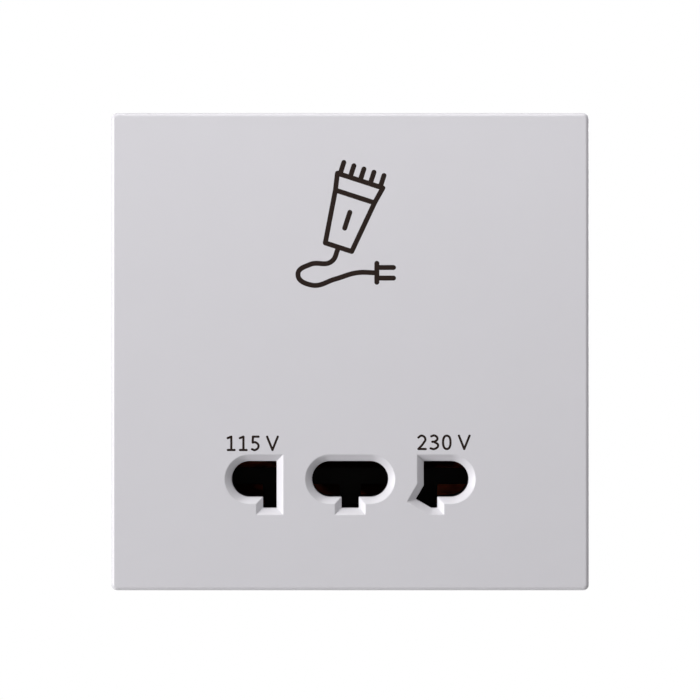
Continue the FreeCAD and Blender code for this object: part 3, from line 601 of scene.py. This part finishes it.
# Each lead's colour, radius and route, by its control points
LEADS = {
    "line_lead": ("6B3A22", MAINS_RADIUS, [
        (-8.18, 33.0, -3.25), (-8.18, 33.0, -14.0), (-8.7, 31.2, -16.4), (-10.5, 24.3, -17.4),
        (-11.0, 22.5, -19.6), (-11.0, 22.5, -22.55)]),
    "neutral_lead": ("2A55A8", MAINS_RADIUS, [
        (-2.17, 33.0, -3.25), (-2.17, 33.0, -14.0), (-1.8, 31.2, -16.4), (-0.4, 24.3, -17.4),
        (0.0, 22.5, -19.6), (0.0, 22.5, -22.55)]),
    "earth_lead": ("4F9A35", MAINS_RADIUS, [
        (EARTH_X, 22.5, -11.95), (EARTH_X, 22.5, -15.4), (EARTH_X, 22.5, -19.1), (EARTH_X, 22.5, -22.55)]),
    "lead_115v": ("DEDDD8", CONTACT_RADIUS, [
        (2.17, 8.0, -3.25), (2.17, 8.0, -12.0), (0.4, 9.0, -13.95), (-15.6, 17.9, -13.95),
        (-17.32, 18.8, -15.9), (-17.32, 18.8, -20.65)]),
    "lead_common": ("232326", CONTACT_RADIUS, [
        (5.17, 8.0, -3.25), (5.17, 8.0, -12.0), (4.3, 9.8, -13.95), (0.9, 17.0, -13.95),
        (0.0, 18.8, -15.9), (0.0, 18.8, -20.65)]),
    "lead_230v": ("B02822", CONTACT_RADIUS, [
        (8.18, 8.0, -3.25), (8.18, 8.0, -12.0), (9.5, 9.5, -13.95), (16.0, 17.3, -13.95),
        (17.32, 18.8, -15.9), (17.32, 18.8, -20.65)]),
}


def model_lead(node, radius, points):
    """A round wire that bends smoothly along its control points."""
    deselect_all()
    bpy.ops.curve.primitive_nurbs_path_add()
    wire = bpy.context.object
    wire.data.splines.clear()
    spline = wire.data.splines.new("NURBS")
    spline.points.add(len(points) - len(spline.points))
    for knot, point in zip(spline.points, points):
        knot.co = (*[c * MM for c in point], 1.0)
    spline.order_u = 3
    spline.use_endpoint_u = True
    wire.data.bevel_depth = radius * MM
    wire.data.bevel_resolution = LEAD_ROUNDNESS
    wire.data.use_fill_caps = True
    bpy.ops.object.convert(target="MESH")
    wire = bpy.context.object
    rename(wire, f"round_{node}")
    turn_outward(wire)
    shade(wire)
    return wire


class SOCKET_OT_leads(bpy.types.Operator):
    """Model the insulated leads"""
    bl_idname = "shaver_socket.leads"
    bl_label = "Model Leads"

    def execute(self, context):
        for node, (tint, radius, points) in LEADS.items():
            wire = model_lead(node, radius, points)
            insulation = extruded_pvc(f"extruded_pvc_{node}", linear(tint))
            if node == "earth_lead":
                stripe(insulation, linear("E3C52B"), EARTH_X * MM)
            place_piece(wire, insulation, node)
        return {"FINISHED"}


# Screws

SCREW_SIDES = 48
# A node's screws lie further apart than these along X and Z
COLUMN_GAP, ROW_GAP = 2 * MM, 8 * MM
# Each screw of a group is turned further than the one before
TURN_STEP = math.radians(37)
# Points further out than this share of a head's radius belong to the head
RIM_SHARE = 0.9
# In shares of the head's height
CROWN_SHARE, RECESS_DEPTH = 0.45, 0.55
CROWN_SEGMENTS = 5
# In shares of the head's radius, with the foot of the recess in shares of its mouth
RECESS_REACH, RECESS_WIDTH, RECESS_TAPER = 0.62, 0.3, 0.55
# In shares of the shank's radius
TIP_SHARE = 0.25
# In shares of a headless screw's radius. The upper half of the slot's cutter stands above the screw
GRUB_EDGE = 0.15
GRUB_CUTTER = (3.0, 0.35, 1.2)


def split_points(points, axis, gap):
    """Groups of points that lie apart along an axis."""
    ordered = sorted(points, key=lambda p: getattr(p, axis))
    groups = [[ordered[0]]]
    for point in ordered[1:]:
        if getattr(point, axis) - getattr(groups[-1][-1], axis) > gap:
            groups.append([])
        groups[-1].append(point)
    return groups


def solids_of(node):
    """The points of each separate solid of a node whose solids stand side by side."""
    points = [v.co.copy() for v in NODES[node].data.vertices]
    columns = split_points(points, "x", COLUMN_GAP)
    return [solid for column in columns for solid in split_points(column, "z", ROW_GAP)]


def box_of(points):
    """The lowest and the highest corner of some points' box."""
    return [Vector([end(p[i] for p in points) for i in range(3)]) for end in (min, max)]


def measure_screw(points):
    """Axis, seat, radii and lengths of a screw along Y, from the points of its solid."""
    low, high = box_of(points)
    middle = (low + high) / 2
    spread = [(math.hypot(p.x - middle.x, p.z - middle.z), p.y) for p in points]
    head_radius = max(r for r, y in spread)
    wide = [y for r, y in spread if r > RIM_SHARE * head_radius]
    head_low, head_high = min(wide), max(wide)
    shank_radius = max(r for r, y in spread if not head_low <= y <= head_high)
    faces_back = head_high > middle.y
    seat = head_low if faces_back else head_high
    tip = low.y if faces_back else high.y
    return {
        "at": Vector((middle.x, seat, middle.z)), "faces_back": faces_back, "head_radius": head_radius,
        "head_height": head_high - head_low, "shank_radius": shank_radius, "shank_length": abs(tip - seat),
    }


def cut_recess(screw, size, top):
    """Cuts a tapered cross for the driver into the head."""
    bpy.ops.mesh.primitive_cube_add(size=1.0, location=(0, 0, top))
    cutter = bpy.context.object
    reach = 2 * RECESS_REACH * size["head_radius"]
    depth = 2 * RECESS_DEPTH * size["head_height"]
    cutter.scale = (reach, RECESS_WIDTH * size["head_radius"], depth)
    apply_place(cutter)
    bpy.ops.object.mode_set(mode="EDIT")
    select_faces(cutter, lambda face: face.normal.z < -FACING)
    bpy.ops.transform.resize(value=(RECESS_TAPER, RECESS_TAPER, 1.0))
    bpy.ops.object.mode_set(mode="OBJECT")
    for turn in (0.0, math.pi / 2):
        cutter.rotation_euler.z = turn
        bpy.context.view_layer.update()
        apply_modifier(screw, "BOOLEAN", object=cutter, operation="DIFFERENCE", solver="EXACT")
    bpy.data.objects.remove(cutter)


def model_screw(size):
    """A pan-head screw that stands on its seat at the origin, head up."""
    deselect_all()
    height = size["head_height"]
    bpy.ops.mesh.primitive_cylinder_add(
        vertices=SCREW_SIDES, radius=size["head_radius"], depth=height, location=(0, 0, height / 2))
    screw = bpy.context.object
    apply_place(screw)
    bpy.ops.object.mode_set(mode="EDIT")
    select_faces(screw, lambda face: face.normal.z > FACING)
    bpy.ops.mesh.bevel(offset=CROWN_SHARE * height, segments=CROWN_SEGMENTS, affect="EDGES")
    select_faces(screw, lambda face: face.normal.z < -FACING)
    bpy.ops.mesh.inset(thickness=size["head_radius"] - size["shank_radius"])
    bpy.ops.mesh.extrude_region_move(TRANSFORM_OT_translate={"value": (0, 0, -size["shank_length"])})
    bpy.ops.mesh.bevel(offset=TIP_SHARE * size["shank_radius"], segments=EDGE_SEGMENTS, affect="EDGES")
    bpy.ops.object.mode_set(mode="OBJECT")
    cut_recess(screw, size, height)
    return screw


def set_screw(pattern, size, turn):
    """A copy of a screw with its own mesh, turned and set at its place."""
    copy = duplicate(pattern)
    tilt = -math.pi / 2 if size["faces_back"] else math.pi / 2
    copy.matrix_world = (
        Matrix.Translation(size["at"]) @ Matrix.Rotation(tilt, 4, "X") @ Matrix.Rotation(turn, 4, "Z"))
    apply_place(copy)
    return copy


def measure_grub(points):
    """Axis, radius and length of a headless screw along Y that faces back, from the points of its solid."""
    low, high = box_of(points)
    middle = (low + high) / 2
    return {
        "at": Vector((middle.x, high.y, middle.z)), "faces_back": True, "radius": (high.x - low.x) / 2,
        "length": high.y - low.y,
    }


def model_grub(size):
    """A headless slotted screw that hangs below the origin, slot up."""
    deselect_all()
    radius, depth = size["radius"], size["length"]
    bpy.ops.mesh.primitive_cylinder_add(
        vertices=SCREW_SIDES, radius=radius, depth=depth, location=(0, 0, -depth / 2))
    grub = bpy.context.object
    apply_place(grub)
    bpy.ops.object.mode_set(mode="EDIT")
    select_faces(grub, lambda face: abs(face.normal.z) > FACING)
    bpy.ops.mesh.bevel(offset=GRUB_EDGE * radius, segments=EDGE_SEGMENTS, affect="EDGES")
    bpy.ops.object.mode_set(mode="OBJECT")
    deselect_all()
    bpy.ops.mesh.primitive_cube_add(size=1.0)
    cutter = bpy.context.object
    cutter.scale = [share * radius for share in GRUB_CUTTER]
    apply_place(cutter)
    apply_modifier(grub, "BOOLEAN", object=cutter, operation="DIFFERENCE", solver="EXACT")
    bpy.data.objects.remove(cutter)
    return grub


class SOCKET_OT_screws(bpy.types.Operator):
    """Model the pan-head screws with their cross recess and the slotted terminal screws"""
    bl_idname = "shaver_socket.screws"
    bl_label = "Model Screws"

    def execute(self, context):
        zinc = zinc_plate()
        for node in ("housing_screws", "carrier_screws", "block_screws", "core_screws"):
            self.set_group(node, f"pan_head_{node}", measure_screw, model_screw, zinc)
        self.set_group("terminal_screws", "slotted_terminal_screws", measure_grub, model_grub, zinc)
        return {"FINISHED"}

    def set_group(self, node, name, measure, model, zinc):
        """Models a node's screw once and sets a copy at each of its solids."""
        sizes = [measure(points) for points in solids_of(node)]
        pattern = model(sizes[0])
        copies = [set_screw(pattern, size, i * TURN_STEP) for i, size in enumerate(sizes)]
        bpy.data.objects.remove(pattern)
        group = join(copies, name)
        shade(group)
        place_piece(group, zinc, node)


# Print

LINE_ROUNDNESS = 6
BALL_SEGMENTS, BALL_RINGS = 24, 12
# United lines that differ from their drawn size by more than this share have lost something
FILM_SLACK = 0.01

# The drawn shaver in millimetres from the pictogram's middle, before it is tilted
SHAVER_TILT = math.radians(-18)
BODY_TOP, BODY_FOOT = 5.4, -4.2
BODY_SHOULDER, BODY_HIP = 3.7, 2.5
HEAD_TOP, HEAD_HALF = 8.4, 4.3
TOOTH_TOP, TOOTH_PITCH, TEETH = 10.6, 1.9, 5
SWITCH_LOW, SWITCH_HIGH = -0.6, 2.4
# The cord and its plug stay level
CORD = [
    (-1.3, -4.1), (-2.6, -6.6), (-6.4, -7.1), (-8.6, -8.9),
    (-6.2, -10.8), (-1.8, -9.7), (2.0, -8.6), (5.6, -8.6),
]
PLUG = [(5.6, -10.3), (5.6, -6.9)]
PIN_ENDS, PIN_HALF_GAP = (5.6, 8.6), 0.95

# Each figure's lines, in shares of its height from its left foot
GLYPHS = {
    "0": [("ring", [(0.28, 1.0), (0.56, 0.5), (0.28, 0.0), (0.0, 0.5)])],
    "1": [("bent", [(-0.27, 0.89), (0.0, 1.0), (0.0, 0.0)]), ("bent", [(-0.26, 0.0), (0.24, 0.0)])],
    "2": [("curved", [(0.0, 0.86), (0.25, 1.0), (0.52, 0.76), (0.38, 0.44), (0.0, 0.0)]),
          ("bent", [(0.0, 0.0), (0.55, 0.0)])],
    "3": [("curved", [(0.0, 0.95), (0.24, 1.01), (0.46, 0.78), (0.26, 0.56), (0.08, 0.54)]),
          ("curved", [(0.20, 0.55), (0.51, 0.27), (0.22, 0.0), (-0.05, 0.05)])],
    "5": [("bent", [(0.44, 1.0), (0.02, 1.0), (0.0, 0.56)]),
          ("curved", [(0.0, 0.56), (0.20, 0.58), (0.44, 0.29), (0.18, 0.0), (-0.05, 0.06)])],
    "V": [("bent", [(0.0, 1.0), (0.40, 0.0), (0.80, 1.0)])],
}
# How far each word stands above the first one's foot, and where each figure starts, in millimetres
WORDS = {
    "printed_115_V": (0.0, [("1", -21.39), ("1", -19.21), ("5", -17.55), ("V", -14.95)]),
    "printed_230_V": (0.18, [("2", 12.28), ("3", 14.6), ("0", 16.72), ("V", 19.57)]),
}


def tube(points, width, handle, is_ring):
    """A round bar through (x, z) points, straight or curved between them."""
    deselect_all()
    bpy.ops.curve.primitive_bezier_curve_add()
    line = bpy.context.object
    spline = line.data.splines[0]
    spline.bezier_points.add(len(points) - len(spline.bezier_points))
    for knot, (x, z) in zip(spline.bezier_points, points):
        knot.co = (x, 0, z)
        knot.handle_left_type = handle
        knot.handle_right_type = handle
    spline.use_cyclic_u = is_ring
    line.data.bevel_depth = width / 2
    line.data.bevel_resolution = LINE_ROUNDNESS
    line.data.use_fill_caps = True
    bpy.ops.object.convert(target="MESH")
    return bpy.context.object


def ball(point, width):
    """A round end or joint of a line."""
    deselect_all()
    x, z = point
    bpy.ops.mesh.primitive_uv_sphere_add(
        segments=BALL_SEGMENTS, ring_count=BALL_RINGS, radius=width / 2, location=(x, 0, z))
    return bpy.context.object


def stroke(kind, points, width):
    """The bars and balls of one line, which is bent, curved, a ring or a closed outline."""
    if kind == "ring":
        return [tube(points, width, "AUTO", True)]
    if kind == "curved":
        return [tube(points, width, "AUTO", False), ball(points[0], width), ball(points[-1], width)]
    ends = points[1:] + (points[:1] if kind == "outline" else [])
    runs = [tube([start, end], width, "VECTOR", False) for start, end in zip(points, ends)]
    return runs + [ball(point, width) for point in points]


def print_lines(name, lines, width, place, ink):
    """Unites lines, drawn a thousand times too large, and lays them on the plate as a thin film of ink."""
    rise = settings()[1].rise
    drawn_width = width / MM
    pieces = [piece for kind, points in lines for piece in stroke(kind, points, drawn_width)]
    for piece in pieces:
        apply_place(piece)
        turn_outward(piece)
    film = join(pieces, name)
    drawn = film.dimensions.copy()
    edit_whole(film, bpy.ops.mesh.intersect_boolean, operation="UNION", use_self=True, solver="EXACT")
    if (film.dimensions - drawn).length > FILM_SLACK * drawn.length:
        raise RuntimeError(f"{name} lost some of its lines")
    film.scale = (MM, rise / (drawn_width / 2), MM)
    film.location = (place[0], PLATE_FRONT, place[1])
    apply_place(film)
    shade(film)
    place_piece(film, ink)


class SOCKET_OT_pictogram(bpy.types.Operator):
    """Print the outline of an electric shaver with its cord and plug"""
    bl_idname = "shaver_socket.pictogram"
    bl_label = "Print Pictogram"

    def execute(self, context):
        colours, sizes, _ = settings()
        turn = Matrix.Rotation(SHAVER_TILT, 2)
        shoulders = [(-BODY_SHOULDER, BODY_TOP), (BODY_SHOULDER, BODY_TOP)]
        body = [(-BODY_HIP, BODY_FOOT), *shoulders, (BODY_HIP, BODY_FOOT)]
        head = [shoulders[0], (-HEAD_HALF, HEAD_TOP), (HEAD_HALF, HEAD_TOP), shoulders[1]]
        drawn = [("outline", body), ("bent", head), ("bent", [(0, SWITCH_LOW), (0, SWITCH_HIGH)])]
        for tooth in range(TEETH):
            x = (tooth - (TEETH - 1) / 2) * TOOTH_PITCH
            drawn.append(("bent", [(x, HEAD_TOP), (x, TOOTH_TOP)]))
        drawn = [(kind, [turn @ Vector(point) for point in points]) for kind, points in drawn]
        drawn += [("curved", CORD), ("bent", PLUG)]
        cord_end = CORD[-1][1]
        for z in (cord_end - PIN_HALF_GAP, cord_end + PIN_HALF_GAP):
            drawn.append(("bent", [(PIN_ENDS[0], z), (PIN_ENDS[1], z)]))
        place = (-sizes.pictogram_side, sizes.pictogram_z)
        print_lines("printed_pictogram", drawn, sizes.stroke, place, pad_printed_ink(colours.ink[:]))
        return {"FINISHED"}


class SOCKET_OT_figures(bpy.types.Operator):
    """Print the two voltages above their slots"""
    bl_idname = "shaver_socket.figures"
    bl_label = "Print Figures"

    def execute(self, context):
        sizes = settings()[1]
        tall = sizes.figure / MM
        ink = bpy.data.materials["pad_printed_ink"]
        for name, (foot, figures) in WORDS.items():
            lines = []
            for glyph, start in figures:
                for kind, points in GLYPHS[glyph]:
                    lines.append((kind, [(start + x * tall, foot + z * tall) for x, z in points]))
            print_lines(name, lines, sizes.figure_stroke, (0, -sizes.figure_drop), ink)
        return {"FINISHED"}


# Studio, in metres, with the camera's sensor in millimetres

FLOOR_DROP = 0.8
FLOOR_SIZE = 12.0
KEY_SIZE = 0.8
KEY_PLACE = (-1.473, -0.655, 0.0)
TOP_SIZE = 0.3
TOP_PLACE = (0.0, -0.17, 0.34)
BACK_SIZE = 0.8
BACK_PLACE = (0.6, 0.95, 0.35)
LAMP_TARGET = (0.0, -0.03, 0.0)
SENSOR_MM = 36.0


def add_lamp(name, place, size, watts):
    """A square soft lamp that faces the plate."""
    bpy.ops.object.light_add(type="AREA", location=place)
    lamp = bpy.context.object
    lamp.name = name
    lamp.data.size = size
    lamp.data.energy = watts
    lamp.rotation_euler = (Vector(LAMP_TARGET) - Vector(place)).to_track_quat("-Z", "Y").to_euler()


def light_world(fill):
    """Even light all round. The camera and reflections see plain white instead."""
    world = bpy.data.worlds.new("studio_world")
    bpy.context.scene.world = world
    world.use_nodes = True
    tree = world.node_tree
    tree.nodes.clear()
    even = add_node(tree, "ShaderNodeBackground", {"Strength": fill, "Color": (1, 1, 1, 1)})
    white = add_node(tree, "ShaderNodeBackground", {"Strength": 1.0, "Color": (1, 1, 1, 1)})
    mix = add_node(
        tree, "ShaderNodeMixShader",
        {0: seen_directly(tree), 1: even.outputs["Background"], 2: white.outputs["Background"]})
    add_node(tree, "ShaderNodeOutputWorld", {"Surface": mix.outputs["Shader"]})


class SOCKET_OT_studio(bpy.types.Operator):
    """Set up the floor, the lamps and the camera"""
    bl_idname = "shaver_socket.studio"
    bl_label = "Set Up Studio"

    def execute(self, context):
        colours, _, studio = settings()
        deselect_all()
        bpy.ops.mesh.primitive_plane_add(size=FLOOR_SIZE, location=(0, 0, -FLOOR_DROP))
        floor = bpy.context.object
        floor.name = "studio_floor"
        apply_place(floor)
        set_material(floor, painted_board(colours.floor[:]))
        light_world(studio.fill)
        add_lamp("key_lamp", KEY_PLACE, KEY_SIZE, studio.key_power)
        add_lamp("top_lamp", TOP_PLACE, TOP_SIZE, studio.top_power)
        add_lamp("back_lamp", BACK_PLACE, BACK_SIZE, studio.back_power)
        bpy.ops.object.camera_add(
            location=(-studio.camera_side, PLATE_FRONT - studio.camera_distance, studio.camera_rise),
            rotation=(math.pi / 2, 0, 0))
        camera = bpy.context.object
        camera.data.sensor_width = SENSOR_MM
        camera.data.lens = SENSOR_MM * studio.camera_distance / studio.view_width
        context.scene.camera = camera
        context.scene.view_settings.view_transform = "Standard"
        return {"FINISHED"}


OPERATORS = (
    SOCKET_OT_mouldings, SOCKET_OT_metal_parts, SOCKET_OT_transformer, SOCKET_OT_leads,
    SOCKET_OT_screws, SOCKET_OT_pictogram, SOCKET_OT_figures, SOCKET_OT_studio,
)


class SOCKET_PT_panel(bpy.types.Panel):
    """Lists the socket's steps and values in the sidebar"""
    bl_idname = "SOCKET_PT_panel"
    bl_label = "Shaver Socket"
    bl_space_type = "VIEW_3D"
    bl_region_type = "UI"
    bl_category = "Shaver Socket"

    def draw(self, context):
        for operator in OPERATORS:
            self.layout.operator(operator.bl_idname)
        for group in settings():
            box = self.layout.box()
            for name in group.__annotations__:
                box.prop(group, name)


GROUPS = {"socket_colours": SocketColours, "print_sizes": PrintSizes, "studio_settings": StudioSettings}
CLASSES = tuple(GROUPS.values()) + OPERATORS + (SOCKET_PT_panel,)


def register():
    """Makes the steps, the panel and the groups of values known."""
    for cls in CLASSES:
        bpy.utils.register_class(cls)
    for name, group in GROUPS.items():
        setattr(bpy.types.Scene, name, bpy.props.PointerProperty(type=group))


def unregister():
    """Takes them away again."""
    for name in GROUPS:
        delattr(bpy.types.Scene, name)
    for cls in reversed(CLASSES):
        bpy.utils.unregister_class(cls)


def main():
    """Runs every step in order."""
    register()
    for operator in OPERATORS:
        family, step = operator.bl_idname.split(".")
        getattr(getattr(bpy.ops, family), step)()


if __name__ == "__main__":
    main()
